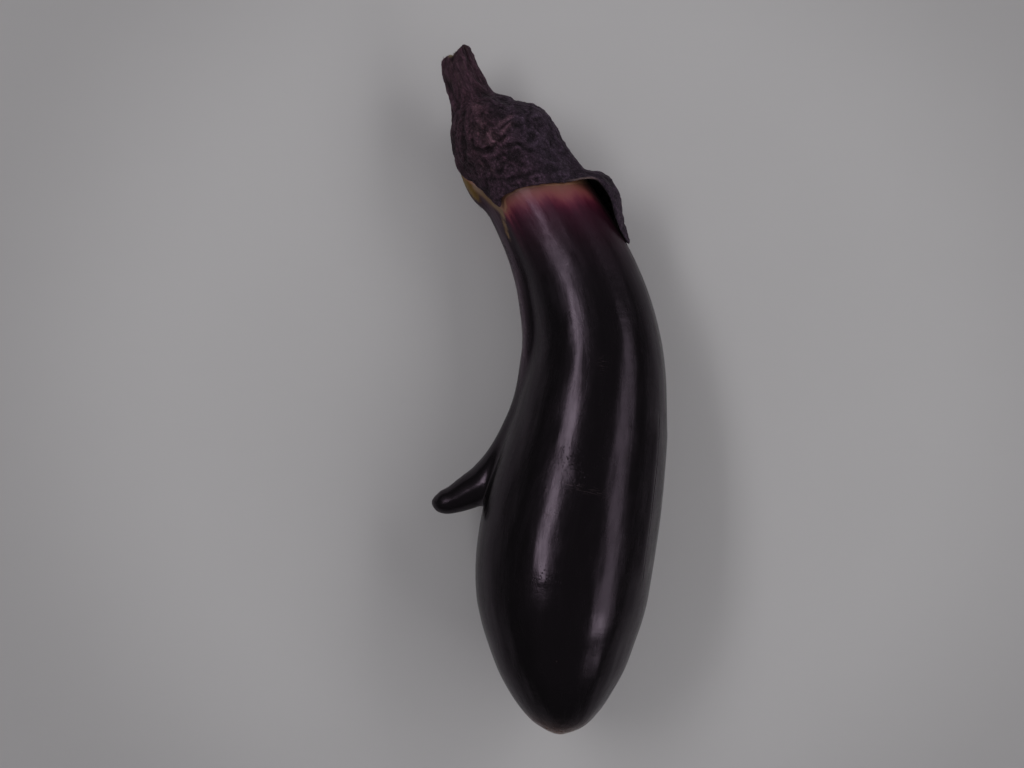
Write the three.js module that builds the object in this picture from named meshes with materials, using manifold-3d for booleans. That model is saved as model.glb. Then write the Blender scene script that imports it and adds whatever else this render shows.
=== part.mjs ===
// An eggplant with a nose, lying on its side as picked.
//
// It is three grown pieces. The fruit is one body of flesh: a long curved belly with a spare lobe fused
// down its left flank, which breaks away below the middle as a short horn. The calyx is the leathery cap
// of sepals over the fruit's shoulder, and the stalk is the woody stub that it was cut from the plant by.
//
// Millimetres. +Z is up and z = 0 is the surface that it lies on. +Y runs from the blossom end to the
// stalk, and every cross-section stands upright on the spine, the curved line through the middle of
// belly, cap and stalk. Angles go round a section from the right flank (0) over the top (90) to the
// left flank (180).

import * as THREE from "three";
import { mergeVertices } from "three/addons/utils/BufferGeometryUtils.js";
import Module from "manifold-3d";

const wasm = await Module();
wasm.setup();

// ---- Driving dimensions ------------------------------------------------------------------------------

// The spine: [y, x, height], from the blossom end to the end of the stalk.
const SPINE = [
  [-94.6, 3.5, 23.6],
  [-76, 3.1, 24.2],
  [-63, 3.1, 24.3],
  [-50, 3.7, 24.0],
  [-37, 5.6, 24.0],
  [-24, 8.4, 23.0],
  [-10, 11.2, 21.0],
  [11, 13.2, 17.9],
  [29.5, 9.3, 15.9],
  [46.5, 1.6, 15.4],
  [62, -8.8, 15.6],
  [73, -16.8, 16.0],
  [82, -21.4, 16.8],
  [88, -24.5, 17.4],
  [96, -26.4, 18.6],
];

// The belly's radius at stations along the spine: [y, radius].
const BELLY = [
  [-94.6, 0],
  [-89.5, 9.0],
  [-83, 13.8],
  [-76.5, 17.4],
  [-70, 19.9],
  [-63.5, 22.1],
  [-57, 23.6],
  [-47, 24.4],
  [-35, 24.3],
  [-23, 23.2],
  [-12, 21.7],
  [0, 19.9],
  [12, 18.1],
  [25, 16.6],
  [37, 15.1],
  [50, 13.8],
  [62, 12.5],
  [69, 10.6],
  [74, 7.2],
  [77, 0],
];

// The spare lobe, from the horn's tip up the left flank to under the calyx: [x, y, height, radius].
const LOBE = [
  [-32.5, -31.9, 15.6, 0],
  [-29.7, -31.8, 15.8, 3.1],
  [-26.3, -30.9, 16.4, 3.8],
  [-21.6, -28.5, 17.4, 4.8],
  [-16.2, -25.2, 18.6, 5.7],
  [-12.3, -19.3, 19.6, 5.0],
  [-9.2, -11.8, 19.8, 4.2],
  [-6.2, -3.4, 19.4, 4.1],
  [-4.4, 6, 18.6, 4.1],
  [-3.8, 15, 17.8, 4.0],
  [-5.2, 26, 16.8, 3.9],
  [-8.4, 36.5, 16.4, 3.7],
  [-13.0, 46.5, 16.4, 3.4],
  [-18.4, 55.5, 16.6, 3.0],
  [-22.6, 63, 16.8, 2.4],
  [-24.2, 69, 17.0, 0],
];

// The calyx: its outer radius along the spine, [y, radius], and its free edge, [angle, y].
const CAP = [
  [32, 15.9],
  [42, 15.4],
  [50, 14.8],
  [57, 14.3],
  [64, 14.0],
  [69, 13.4],
  [73, 11.9],
  [77, 9.0],
  [79.5, 7.4],
  [82, 6.3],
];
const CAP_EDGE = [
  [-180, 70],
  [-164, 66],
  [-148, 55],
  [-140, 52],
  [-126, 56],
  [-104, 60],
  [-88, 56],
  [-68, 44],
  [-52, 50],
  [-38, 52],
  [-28, 48],
  [-16, 41],
  [-5, 35.5],
  [5, 39.5],
  [14, 45.5],
  [23, 49.5],
  [45, 51],
  [66, 52.5],
  [84, 54.5],
  [106, 56.5],
  [124, 57.2],
  [136, 57],
  [143, 56.4],
  [149, 59.4],
  [155, 62.6],
  [163, 65.4],
  [171, 68],
  [180, 70],
];
const CAP_THICK = 1.1; // of the sepals at their edge
const CROWN_THICK = 3.2; // where they join round the stalk
const CROWN_DEPTH = 4; // how far the solid crown reaches below its top
const SEPALS = [-140, -68, -5, 72, 143]; // the angles of their midribs
const MIDRIB = { rise: 0.35, width: 7 };
const SHOULDER = { angle: 24, y: 70, rise: 1.3, width: 28, length: 4.5 }; // the cap's hunched right shoulder
const DIMPLE = { angle: 104, y: 71, rise: -1.0, width: 30, length: 7 }; // the sunken patch by the stalk

// The right-hand sepal stands off the fruit and hangs down beside it.
const CURLED = -5; // its angle
const CURL_SPREAD = 25; // degrees to each side
const CURL = [
  [35.5, 1.5],
  [39.5, 1.8],
  [43, 3.0],
  [47.5, 3.9],
  [50.5, 2.5],
  [53, 0.3],
  [56, 0],
]; // how far it stands off along the spine: [y, gap]

// The stalk: its radius along the spine, [y, radius], from the cap towards the cut.
const STALK = [
  [82, 6.3],
  [84, 5.9],
  [87.5, 5.2],
  [91, 4.4],
  [96, 4.1],
];
const STALK_RIBS = 5;
const RIB = 0.35; // height of a rib
const CUT = 93.4; // where the spine meets the cut
const CUT_SLANT = 0.6; // how much further the right side reaches
const CUT_ROUNDING = 0.75; // the flat of the cut, as a share of the stalk's radius
const CUT_HOLLOW = 0.4; // the pith is sunk in the middle of the cut
const NOTCH = { angle: 118, depth: 1.1, width: 16 }; // the split in the cut's edge

const GAP = 0.3; // between neighbouring pieces
const MARGIN = 0.35; // how much wider than the fruit the hollow in the cap is

// Facets along and round each surface.
const BELLY_FACETS = [54, 44];
const LOBE_FACETS = [48, 18];
const CAP_FACETS = [22, 56];
const LINING_FACETS = 9;
const STALK_FACETS = [12, 40];

// ---- Curves, sections and solids ---------------------------------------------------------------------

const radians = THREE.MathUtils.degToRad;

// A smooth curve through rows of [place, ...]: the value in the given column at x.
function through(rows, x, column = 1) {
  const last = rows.length - 1;
  const at = Math.min(Math.max(x, rows[0][0]), rows[last][0]);
  let i = 0;
  while (i < last - 1 && rows[i + 1][0] < at) i += 1;
  const slope = (k) => {
    const a = Math.max(k - 1, 0);
    const b = Math.min(k + 1, last);
    return (rows[b][column] - rows[a][column]) / (rows[b][0] - rows[a][0]);
  };
  const span = rows[i + 1][0] - rows[i][0];
  const t = (at - rows[i][0]) / span;
  const rise = t * t * (3 - 2 * t);
  return (
    rows[i][column] * (1 - rise) +
    rows[i + 1][column] * rise +
    slope(i) * span * t * (1 - t) * (1 - t) -
    slope(i + 1) * span * t * t * (1 - t)
  );
}

// The same for a radius that closes in a round end: the section's area is what runs smoothly.
const squared = (rows) => rows.map(([y, r]) => [y, r * r]);
const BELLY_AREA = squared(BELLY);
const bellyRadius = (y) => Math.sqrt(Math.max(through(BELLY_AREA, y), 0));

// 1 at the middle, falling smoothly to nothing a few widths away.
const bump = (offset, width) => Math.exp(-((offset / width) ** 2));

// The difference between two angles, from -180 to 180 degrees.
const turn = (a, b) => ((((a - b + 180) % 360) + 360) % 360) - 180;

// The point of the section at y on the spine, at an angle and a radius. Nothing sinks below the surface.
function onSection(y, angle, radius) {
  const step = 0.01;
  const lean = (through(SPINE, y + step) - through(SPINE, y - step)) / (2 * step);
  const side = new THREE.Vector2(1, -lean).normalize();
  const across = radius * Math.cos(radians(angle));
  return new THREE.Vector3(
    through(SPINE, y) + side.x * across,
    y + side.y * across,
    Math.max(through(SPINE, y, 2) + radius * Math.sin(radians(angle)), 0),
  );
}

// Evenly spaced values from a to b, ends included.
const steps = (a, b, count) => Array.from({ length: count + 1 }, (_, i) => a + ((b - a) * i) / count);

// The angles round one ring.
const round = (count) => steps(-180, 180, count).slice(0, -1);

// A closed surface over rings of points, which run from the blossom end to the stalk, with a point at
// each end.
function loft(start, rings, end) {
  const count = rings[0].length;
  const points = [start, ...rings.flat(), end];
  const faces = [];
  const at = (ring, j) => 1 + ring * count + (j % count);
  for (let j = 0; j < count; j += 1) {
    faces.push(0, at(0, j), at(0, j + 1));
    for (let ring = 0; ring + 1 < rings.length; ring += 1) {
      faces.push(at(ring, j), at(ring + 1, j), at(ring, j + 1));
      faces.push(at(ring, j + 1), at(ring + 1, j), at(ring + 1, j + 1));
    }
    faces.push(at(rings.length - 1, j + 1), at(rings.length - 1, j), points.length - 1);
  }
  return new THREE.BufferGeometry().setFromPoints(points).setIndex(faces);
}

// A closed geometry as a solid that can be joined and cut, and back again.
function solidOf(geometry) {
  const merged = mergeVertices(geometry, 1e-4);
  return new wasm.Manifold(
    new wasm.Mesh({
      numProp: 3,
      vertProperties: merged.attributes.position.array,
      triVerts: new Uint32Array(merged.index.array),
    }),
  );
}

function geometryOf(solid) {
  const mesh = solid.getMesh();
  const geometry = new THREE.BufferGeometry();
  geometry.setAttribute("position", new THREE.BufferAttribute(mesh.vertProperties, 3));
  geometry.setIndex(new THREE.BufferAttribute(mesh.triVerts, 1));
  geometry.computeVertexNormals();
  return geometry;
}

// ---- The fruit ---------------------------------------------------------------------------------------

// The curved belly, from the blossom end to the dome under the calyx. Rings crowd towards both ends,
// where it rounds off: partly even, partly as the equal turns of a half circle are.
function belly(grow) {
  const [along, about] = BELLY_FACETS;
  const [first, last] = [BELLY[0][0], BELLY.at(-1)[0]];
  const half = (last - first) / 2;
  const places = steps(0, Math.PI, along)
    .slice(1, -1)
    .map((a) => first + half * (1 - (0.4 * Math.cos(a) + 0.6 * (1 - (2 * a) / Math.PI))));
  const rings = places.map((y) => round(about).map((angle) => onSection(y, angle, bellyRadius(y) + grow)));
  return loft(onSection(first, 0, 0), rings, onSection(last + grow, 0, 0));
}

// The spare lobe: a round tube on its own curve, with the horn's round tip at its start.
function lobe(grow) {
  const [along, about] = LOBE_FACETS;
  const line = new THREE.CatmullRomCurve3(LOBE.map(([x, y, z]) => new THREE.Vector3(x, y, z)));
  const areas = LOBE.map((row, i) => [i / (LOBE.length - 1), row[3] * row[3]]);
  const up = new THREE.Vector3(0, 0, 1);
  const rings = steps(0, 1, along)
    .slice(1, -1)
    .map((t) => {
      const middle = line.getPoint(t);
      const side = line.getTangent(t).cross(up).normalize();
      const radius = Math.sqrt(Math.max(through(areas, t), 0)) + grow;
      return round(about).map((angle) =>
        middle
          .clone()
          .addScaledVector(side, radius * Math.cos(radians(angle)))
          .addScaledVector(up, radius * Math.sin(radians(angle))),
      );
    });
  return loft(line.getPoint(0), rings, line.getPoint(1));
}

const fruitSolid = (grow) => solidOf(belly(grow)).add(solidOf(lobe(grow)));

// ---- The calyx ---------------------------------------------------------------------------------------

// The cap's outer radius: its even girth, with midribs, a hunched shoulder, a sunken patch and the curl.
function capRadius(y, angle) {
  const rib = MIDRIB.rise * Math.max(...SEPALS.map((sepal) => bump(turn(angle, sepal), MIDRIB.width)));
  const patch = (spot) =>
    spot.rise * bump(turn(angle, spot.angle), spot.width) * bump(y - spot.y, spot.length);
  const curl = through(CURL, y) * bump(turn(angle, CURLED), CURL_SPREAD);
  return through(CAP, y) + rib + patch(SHOULDER) + patch(DIMPLE) + curl;
}

// The sepals' shell goes down inside from the crown to the free edge and back up outside, and the fruit
// hollows it out.
function calyx() {
  const [along, about] = CAP_FACETS;
  const crown = CAP.at(-1)[0] - GAP;
  const row = (t, inset) =>
    round(about).map((angle) => {
      const y = crown + (through(CAP_EDGE, angle) - crown) * t;
      const thick = CAP_THICK + (CROWN_THICK - CAP_THICK) * (1 - t) ** 2;
      return onSection(y, angle, capRadius(y, angle) - inset * thick);
    });
  const lining = steps(0, 1, LINING_FACETS + 2).slice(2).map((t) => row(t, 1));
  const face = steps(1, 0, along).map((t) => row(t, 0));
  const shell = loft(onSection(crown - CROWN_DEPTH, 0, 0), [...lining, ...face], onSection(crown, 0, 0));
  return geometryOf(solidOf(shell).subtract(fruitSolid(MARGIN)));
}

// ---- The stalk ---------------------------------------------------------------------------------------

// Ribbed all round, with a slanting, notched cut whose edge is rounded and whose pith is sunk.
function stalk() {
  const [along, about] = STALK_FACETS;
  const foot = STALK[0][0];
  const cutAt = (angle) =>
    CUT + CUT_SLANT * Math.cos(radians(angle)) - NOTCH.depth * bump(turn(angle, NOTCH.angle), NOTCH.width);
  const row = (t, share) =>
    round(about).map((angle) => {
      const y = foot + (cutAt(angle) - foot) * t;
      const rib = RIB * Math.cos(radians(STALK_RIBS * angle)) * Math.min(1, 2 * t);
      return onSection(y, angle, (through(STALK, y) + rib) * share);
    });
  const rings = [...steps(0, 1, along).map((t) => row(t, 1)), row(1, CUT_ROUNDING)];
  return loft(onSection(foot, 0, 0), rings, onSection(CUT - CUT_HOLLOW, 0, 0));
}

// ---- The eggplant ------------------------------------------------------------------------------------

const SKIN = new THREE.MeshStandardMaterial({ color: 0x1c1119, roughness: 0.3, metalness: 0 });
const SEPAL = new THREE.MeshStandardMaterial({ color: 0x3c2d38, roughness: 0.85, metalness: 0 });
const WOOD = new THREE.MeshStandardMaterial({ color: 0x3a2a2e, roughness: 0.9, metalness: 0 });

function piece(name, geometry, material) {
  const mesh = new THREE.Mesh(geometry, material);
  mesh.name = name;
  return mesh;
}

const eggplant = new THREE.Group();
eggplant.add(piece("fruit", geometryOf(fruitSolid(0)), SKIN));
eggplant.add(piece("calyx", calyx(), SEPAL));
eggplant.add(piece("stalk", geometryOf(solidOf(stalk())), WOOD));

export default eggplant;
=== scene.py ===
import math

import bpy
import numpy as np
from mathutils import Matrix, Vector, noise


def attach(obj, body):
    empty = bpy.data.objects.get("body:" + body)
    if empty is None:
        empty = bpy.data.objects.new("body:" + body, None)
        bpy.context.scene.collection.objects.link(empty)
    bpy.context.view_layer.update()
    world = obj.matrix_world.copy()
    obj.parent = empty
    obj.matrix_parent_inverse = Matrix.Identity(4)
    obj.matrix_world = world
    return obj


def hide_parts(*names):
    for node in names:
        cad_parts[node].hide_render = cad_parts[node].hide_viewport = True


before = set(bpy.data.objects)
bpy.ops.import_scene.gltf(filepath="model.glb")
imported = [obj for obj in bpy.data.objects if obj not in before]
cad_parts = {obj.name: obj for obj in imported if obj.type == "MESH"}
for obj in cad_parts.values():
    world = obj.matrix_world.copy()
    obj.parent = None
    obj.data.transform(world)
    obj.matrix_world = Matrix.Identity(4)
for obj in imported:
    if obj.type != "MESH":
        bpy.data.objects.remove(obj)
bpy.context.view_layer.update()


# ---- The fruit -------------------------------------------------
# One grown body of spongy flesh in a thin, taut, waxy skin, almost black with pigment: a long curved
# belly, and a spare lobe that is fused down its left flank and breaks away below the middle as a short
# horn. Where it lies, its own weight presses it flat by a few tenths of a millimetre.

MM = 0.001  # tables are in millimetres, and meshes in metres

# The spine through the middle of belly, cap and stalk: [y, x, height]. Every section stands upright on
# it. Angles go round a section from the right flank (0) over the top (90) to the left flank (180).
SPINE = [
    [-94.6, 3.5, 25.2],
    [-76, 3.1, 24.4],
    [-63, 3.1, 24.3],
    [-50, 3.7, 24.0],
    [-37, 5.6, 24.0],
    [-24, 8.4, 23.0],
    [-10, 11.2, 21.0],
    [11, 13.2, 17.9],
    [29.5, 9.3, 15.9],
    [46.5, 1.6, 15.4],
    [62, -8.8, 15.6],
    [73, -16.8, 16.0],
    [82, -21.4, 16.8],
    [88, -24.5, 17.4],
    [96, -26.4, 18.6],
]

# The belly's radius along the spine: [y, radius].
BELLY = [
    [-94.6, 0],
    [-89.5, 9.0],
    [-83, 13.8],
    [-76.5, 17.4],
    [-70, 19.9],
    [-63.5, 22.1],
    [-57, 23.6],
    [-47, 24.4],
    [-35, 24.3],
    [-23, 23.2],
    [-12, 21.7],
    [0, 19.9],
    [12, 18.1],
    [25, 16.6],
    [37, 15.1],
    [50, 13.8],
    [62, 12.5],
    [69, 10.6],
    [74, 7.2],
    [77, 0],
]

# The belly is a little flattened on its upper left, and the neck on top, as a share of its radius:
# [y, share].
FLATTENED = [
    [-94.6, 0],
    [-78, 0.05],
    [-60, 0.07],
    [-25, 0.07],
    [0, 0.035],
    [15, 0],
    [77, 0],
]
NECK_FLATTENED = [
    [-94.6, 0],
    [-12, 0],
    [0, 0.02],
    [10, 0.035],
    [20, 0.045],
    [30, 0.055],
    [48, 0.06],
    [60, 0.05],
    [77, 0.02],
]
FLATS = [(130, 40, FLATTENED), (110, 30, NECK_FLATTENED)]  # the angle, the spread and the shares

# The spare lobe, from the horn's tip up the left flank to under the calyx: [x, y, height, radius].
LOBE = [
    [-32.5, -31.9, 15.6, 0],
    [-29.7, -31.8, 15.8, 3.1],
    [-26.3, -30.9, 16.4, 3.8],
    [-21.6, -28.5, 17.4, 4.8],
    [-16.2, -25.2, 18.6, 5.7],
    [-12.3, -19.3, 19.6, 5.0],
    [-9.0, -11.8, 19.8, 4.2],
    [-5.8, -3.4, 19.4, 4.1],
    [-4.1, 6, 18.6, 4.1],
    [-3.4, 15, 17.8, 4.0],
    [-4.7, 26, 16.8, 3.9],
    [-7.6, 36.5, 16.4, 3.7],
    [-12.1, 46.5, 16.4, 3.4],
    [-15.1, 50.8, 16.5, 3.0],
    [-18.9, 55.5, 16.6, 3.6],
    [-22.6, 63, 16.8, 2.8],
    [-24.2, 69, 17.0, 0],
]
CROTCH = 1.8  # how softly the lobe's flesh runs into the belly's
PRESSED = 0.5  # how softly the pressed flat underneath runs into the round
ROUGH_END = [3.5, -94.6, 23.6]  # where the rough belly closes at the blossom end
GRAIN = 0.75  # spacing of the body's mesh


def curve(rows, column=1):
    """The smooth curve through a column of rows of [place, ...], which runs straight on past its ends."""
    rows = np.array(rows, float)
    place, value = rows[:, 0], rows[:, column]
    before = np.maximum(np.arange(len(rows)) - 1, 0)
    after = np.minimum(np.arange(len(rows)) + 1, len(rows) - 1)
    slope = (value[after] - value[before]) / (place[after] - place[before])
    x = np.linspace(place[0], place[-1], 6001)
    i = np.clip(np.searchsorted(place, x, side="right") - 1, 0, len(place) - 2)
    span = place[i + 1] - place[i]
    t = (x - place[i]) / span
    rise = t * t * (3 - 2 * t)
    swing = slope[i] * span * t * (1 - t) ** 2 - slope[i + 1] * span * t * t * (1 - t)
    level = value[i] * (1 - rise) + value[i + 1] * rise + swing
    far = place[-1] - place[0]
    x = np.concatenate([[x[0] - far], x, [x[-1] + far]])
    level = np.concatenate([[level[0] - slope[0] * far], level, [level[-1] + slope[-1] * far]])
    return lambda at: np.interp(at, x, level)


spine_x = curve(SPINE, 1)
spine_z = curve(SPINE, 2)
belly_area = curve([[y, r * r] for y, r in BELLY])
flats = [(about, spread, curve(shares)) for about, spread, shares in FLATS]
spine_places = np.linspace(-120, 120, 4801)
spine_leans = np.gradient(spine_x(spine_places), spine_places)


def lean(place):
    """How far the spine goes right for each millimetre along +Y."""
    return np.interp(place, spine_places, spine_leans)


def on_section(place, angle, radius):
    """Points of the sections at those places along the spine, at angles in degrees and radii."""
    slope = lean(place)
    across = radius * np.cos(np.radians(angle)) / np.sqrt(1 + slope**2)
    up = radius * np.sin(np.radians(angle))
    return np.stack([spine_x(place) + across, place - slope * across, spine_z(place) + up], -1)


def in_section(points):
    """The place along the spine of the section each point lies in, and how far right and up it is."""
    x, y, z = points.T
    place = y.copy()
    for _ in range(7):
        slope = lean(place)
        place += ((x - spine_x(place)) * slope + y - place) / (1 + slope**2)
    slope = lean(place)
    right = (x - spine_x(place) - slope * (y - place)) / np.sqrt(1 + slope**2)
    return place, right, z - spine_z(place)


def turned(a, b):
    """The difference between angles in degrees, from -180 to 180."""
    return (a - b + 180) % 360 - 180


def bump(offset, width):
    """1 at no offset, falling smoothly to nothing a few widths away."""
    return np.exp(-((offset / width) ** 2))


def outside(square, area):
    """About how far a point is outside a tube: its distance to the axis and the radius come squared."""
    return (square - area) / np.sqrt(2 * (square + np.maximum(area, 0)) + 4)


def blended(a, b, width):
    """The smaller of a and b, with the corner between them rounded off over that width."""
    overlap = np.maximum(width - np.abs(a - b), 0) / width
    return np.minimum(a, b) - overlap**2 * width / 4


lobe_steps = np.arange(-5, 156) / 150 * (len(LOBE) - 1)
lobe_rows = [[i, x, y, z, r * r] for i, (x, y, z, r) in enumerate(LOBE)]
lobe_line = np.stack([curve(lobe_rows, column)(lobe_steps) for column in (1, 2, 3)], -1)
lobe_heading = np.gradient(lobe_line, axis=0)
lobe_area = curve(lobe_rows, 4)(lobe_steps)


def outside_lobe(points):
    """How far points are outside the spare lobe. Far from it they count as 20 mm."""
    far = np.full(len(points), 20.0)
    low, high = lobe_line.min(0) - 12, lobe_line.max(0) + 12
    near = np.flatnonzero(((points > low) & (points < high)).all(1))
    for part in np.array_split(near, 1 + len(near) // 4000):
        offset = points[part, None] - lobe_line[None]
        i = (offset**2).sum(-1).argmin(1)
        offset = offset[np.arange(len(part)), i]
        heading = lobe_heading[i]
        t = (offset * heading).sum(-1) / (heading**2).sum(-1)
        offset -= heading * t[:, None]
        area = np.interp(i + t, np.arange(len(lobe_area)), lobe_area)
        far[part] = outside((offset**2).sum(-1), area)
    return far


def outside_belly(points):
    place, right, up = in_section(points)
    angle = np.degrees(np.arctan2(up, right))
    share = 1 - sum(shares(place) * bump(turned(angle, about), spread) for about, spread, shares in flats)
    return outside(right**2 + up**2, belly_area(place) * share**2)


def outside_fruit(points):
    body = blended(outside_belly(points), outside_lobe(points), CROTCH)
    return -blended(-body, points[:, 2], PRESSED)


def steepest(field, points):
    """The gradient of a field at points."""
    step = 0.02
    rises = [field(points + axis) - field(points - axis) for axis in np.eye(3) * step]
    return np.stack(rises, -1) / (2 * step)


def mesh_object(name, points, faces):
    """A mesh of points in millimetres, as an object at the origin in metres."""
    mesh = bpy.data.meshes.new(name)
    mesh.from_pydata((np.asarray(points) * MM).tolist(), [], faces)
    mesh.update()
    obj = bpy.data.objects.new(name, mesh)
    bpy.context.scene.collection.objects.link(obj)
    return obj


def loft(name, rings, start, end):
    """A closed skin over rings of points, which run towards the stalk, with a point at each end."""
    rows, count = rings.shape[:2]
    last = 1 + rows * count

    def at(row, j):
        return 1 + row * count + j % count

    faces = [(0, at(0, j), at(0, j + 1)) for j in range(count)]
    for row in range(rows - 1):
        for j in range(count):
            faces.append((at(row, j), at(row + 1, j), at(row + 1, j + 1), at(row, j + 1)))
    faces += [(at(rows - 1, j + 1), at(rows - 1, j), last) for j in range(count)]
    return mesh_object(name, np.vstack([[start], rings.reshape(-1, 3), [end]]), faces)


def plain_mesh(obj):
    """obj, with its mesh changed for what its modifiers make of it, and the modifiers removed."""
    evaluated = obj.evaluated_get(bpy.context.evaluated_depsgraph_get())
    mesh = bpy.data.meshes.new_from_object(evaluated)
    mesh.name = obj.name
    rough = obj.data
    obj.modifiers.clear()
    obj.data = mesh
    bpy.data.meshes.remove(rough)
    return obj


def points_of(obj):
    """The mesh's points, in millimetres."""
    flat = np.empty(len(obj.data.vertices) * 3)
    obj.data.vertices.foreach_get("co", flat)
    return flat.reshape(-1, 3) / MM


def note(obj, name, values):
    """Keeps a number, or a vector, for every point of the mesh, for its material to read."""
    values = np.asarray(values, np.float32)
    kind, key = ("FLOAT_VECTOR", "vector") if values.ndim == 2 else ("FLOAT", "value")
    obj.data.attributes.new(name, kind, "POINT").data.foreach_set(key, values.ravel())


# A rough belly and lobe are joined and covered with an even mesh, whose points then settle on the
# true surface.
angles = np.arange(-180, 180, 6.0)
places = np.linspace(-94.2, 76.8, 130)
rings = on_section(places[:, None], angles[None], np.sqrt(belly_area(places))[:, None])
body = loft("fruit", rings, ROUGH_END, on_section(np.array(77.0), 0, 0))
inner = slice(7, -7)
round_side = np.cross(lobe_heading[inner], [0, 0, 1])
round_side /= np.linalg.norm(round_side, axis=1)[:, None]
girth = np.sqrt(np.maximum(lobe_area[inner], 0.01))[:, None, None]
turn_by = np.radians(angles)[None, :, None]
rings = lobe_line[inner][:, None] + girth * np.cos(turn_by) * round_side[:, None]
rings = rings + girth * np.sin(turn_by) * np.array([0, 0, 1.0])
spare = loft("spare_lobe", rings, lobe_line[5], lobe_line[-6])
with bpy.context.temp_override(active_object=body, selected_editable_objects=[body, spare]):
    bpy.ops.object.join()
remesh = body.modifiers.new("Even mesh", "REMESH")
remesh.mode = "VOXEL"
remesh.voxel_size = GRAIN * MM
body = plain_mesh(body)

points = points_of(body)
edges = np.array([edge.vertices[:] for edge in body.data.edges])
neighbours = np.bincount(edges.ravel(), minlength=len(points))[:, None]
for settle in range(6):
    if settle < 4:
        middle = np.zeros_like(points)
        np.add.at(middle, edges[:, 0], points[edges[:, 1]])
        np.add.at(middle, edges[:, 1], points[edges[:, 0]])
        points += 0.6 * (middle / neighbours - points)
    slope = steepest(outside_fruit, points)
    points -= outside_fruit(points)[:, None] * slope / (slope**2).sum(1)[:, None]


def wander(points, size, seed):
    """Smooth random swings, about -1 to 1, of that size in millimetres, at points."""
    shift = Vector((seed * 7.31, seed * 3.17, seed * 5.53))
    return np.array([2 * noise.noise(Vector(point) / size + shift) for point in points.tolist()])


def straightened(place, angle, radius):
    """Where those points would lie if the spine were straight, for grain that follows the piece."""
    return np.stack([radius * np.cos(np.radians(angle)), radius * np.sin(np.radians(angle)), place], -1)


# The relief: slow swells, and the shallow scar that the blossom left.
SCAR = {"up": 0.5, "depth": 0.4, "radius": 6.0}

place, right, up = in_section(points)
angle = np.degrees(np.arctan2(up, right))
straight = straightened(place, angle, np.minimum(2 * np.hypot(right, up), 18))
slow = straight * [1, 1, 0.3]
relief = 0.14 * wander(slow, 9, 1) + 0.045 * wander(slow, 3.4, 2) + 0.015 * wander(slow, 1.7, 3)
off_end = np.hypot(right, up - SCAR["up"])
at_end = np.clip((-85 - place) / 4, 0, 1)
relief -= SCAR["depth"] * at_end * bump(off_end, SCAR["radius"])
relief *= np.clip(points[:, 2] / 4, 0, 1)
slope = steepest(outside_fruit, points)
slope /= np.linalg.norm(slope, axis=1)[:, None]
points += slope * relief[:, None]
points[:, 2] = np.maximum(points[:, 2], 0)
body.data.vertices.foreach_set("co", (points * MM).ravel())
body.data.update()
body.data.shade_smooth()

# The calyx's free edge, [angle, y]. The skin above it, and a little below, never saw the light.
CAP_EDGE = [
    [-180, 72],
    [-164, 66.5],
    [-148, 55],
    [-140, 52],
    [-128, 56],
    [-114, 60],
    [-100, 57],
    [-84, 46],
    [-76, 45],
    [-66, 49],
    [-58, 51.5],
    [-50, 49],
    [-42, 44.5],
    [-32, 40],
    [-20, 36.6],
    [-8, 35],
    [3, 34.4],
    [11, 34.6],
    [18, 35.3],
    [24, 37.2],
    [29, 40.6],
    [33, 45.2],
    [37, 48.8],
    [45, 50.8],
    [66, 52.5],
    [84, 54.5],
    [106, 56.5],
    [124, 57.2],
    [134, 57.2],
    [140.5, 56.0],
    [147, 58.6],
    [155, 62.6],
    [163, 65.8],
    [171, 69],
    [180, 72],
]
cap_edge = curve(CAP_EDGE)

# Under the sepal that stands away on the right, the pale band runs straight on.
PALE_EDGE = [[a, y] for a, y in CAP_EDGE if a < -56] + [[-38, 53], [-5, 51], [20, 50], [45, 51]]
PALE_EDGE += [[a, y] for a, y in CAP_EDGE if a > 45]
pale_edge = curve(PALE_EDGE)


def ramped(value, start, end):
    """0 at start, 1 at end, and smooth between."""
    t = np.clip((value - start) / (end - start), 0, 1)
    return t * t * (3 - 2 * t)


# Marks on the skin, each a run of spots: [y, angle, half its length, half its width].
MARKS = {
    "tanned": [
        [63.5, 161, 1.2, 1.0],
        [62, 158.5, 1.5, 1.1],
        [60.3, 156, 1.6, 1.2],
        [58.4, 154, 1.7, 1.5],
        [57, 150.5, 1.6, 1.5],
        [55.5, 148.5, 1.4, 0.8],
        [54, 151.5, 1.4, 0.6],
        [52, 156.5, 1.9, 0.5],
        [49.3, 160, 2.2, 0.4],
    ],
    "greyed": [
        [59, 162.5, 2.0, 1.0],
        [56.5, 163, 2.2, 1.5],
        [53.5, 164, 2.6, 1.6],
        [49.5, 166, 3.0, 1.7],
        [45, 169, 3.4, 1.9],
        [40, 170, 4.0, 1.9],
        [34, 171, 5.0, 1.9],
        [26, 172, 6.0, 1.8],
        [17, 173, 7.0, 1.7],
        [7, 174, 8.0, 1.6],
    ],
    "pitted": [[-19.5, 104, 3.4, 3.0], [-22.5, 94, 2.6, 2.4], [-50, 102, 2.4, 3.6]],
    "scuffed": [[-26.4, 99, 1.0, 2.6], [-26.2, 84, 0.9, 4.5], [-34.4, 107, 1.2, 1.2], [6.4, 88, 1.8, 1.0]],
    "unripe": [
        [63.5, 167, 1.6, 1.1],
        [61.2, 167, 1.6, 1.0],
        [66, 172, 2.0, 1.8],
        [68.5, 177, 2.4, 1.8],
        [73, 181, 2.4, 1.8],
    ],
    "sheltered": [
        [48, 25, 1.5, 0.5],
        [45, 23, 1.5, 0.5],
        [42, 22, 1.5, 0.5],
        [39, 21, 1.5, 0.4],
        [36, 21, 1.5, 0.3],
    ],
}

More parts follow.
